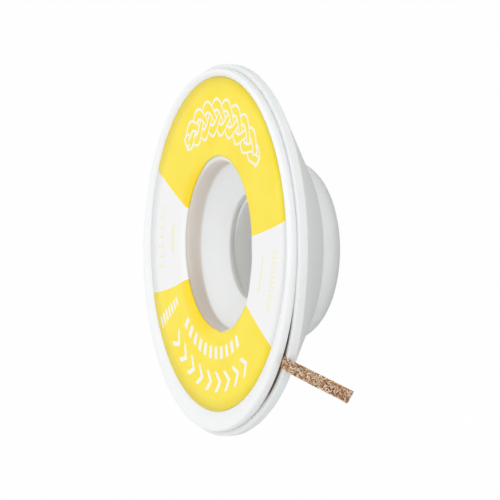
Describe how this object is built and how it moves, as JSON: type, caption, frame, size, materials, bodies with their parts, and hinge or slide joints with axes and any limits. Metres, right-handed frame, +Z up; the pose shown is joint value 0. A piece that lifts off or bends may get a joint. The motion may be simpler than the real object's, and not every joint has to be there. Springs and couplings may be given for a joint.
{
  "type": "desoldering braid on bobbin",
  "caption": "Flat copper desoldering braid wound in a round two-part plastic bobbin with a ring label, its free end out of the rim seam.",
  "frame": {"origin": "on the floor, on the axis of both rims, at the hub's flat end", "axes": "+Z up along the bobbin's axis from the hub end to the label face; +X towards the side that faces the picture's camera; the front half's hole and label seat sit 0.5 mm towards +Y of its rim; the braid leaves the rim between +X and -Y"},
  "size_m": [0.0463, 0.042, 0.0121],
  "materials": {
    "front_plastic": "satin white injection-moulded polystyrene",
    "back_plastic": "satin white injection-moulded polystyrene",
    "label_print": "printed paper-film sticker, yellow and white",
    "braid_copper": "bright woven copper wire"
  },
  "bodies": {
    "root": {"front_shell": "front_plastic", "back_shell": "back_plastic", "label": "label_print", "braid_coil": "braid_copper", "braid_tail": "braid_copper"}
  },
  "joints": []
}
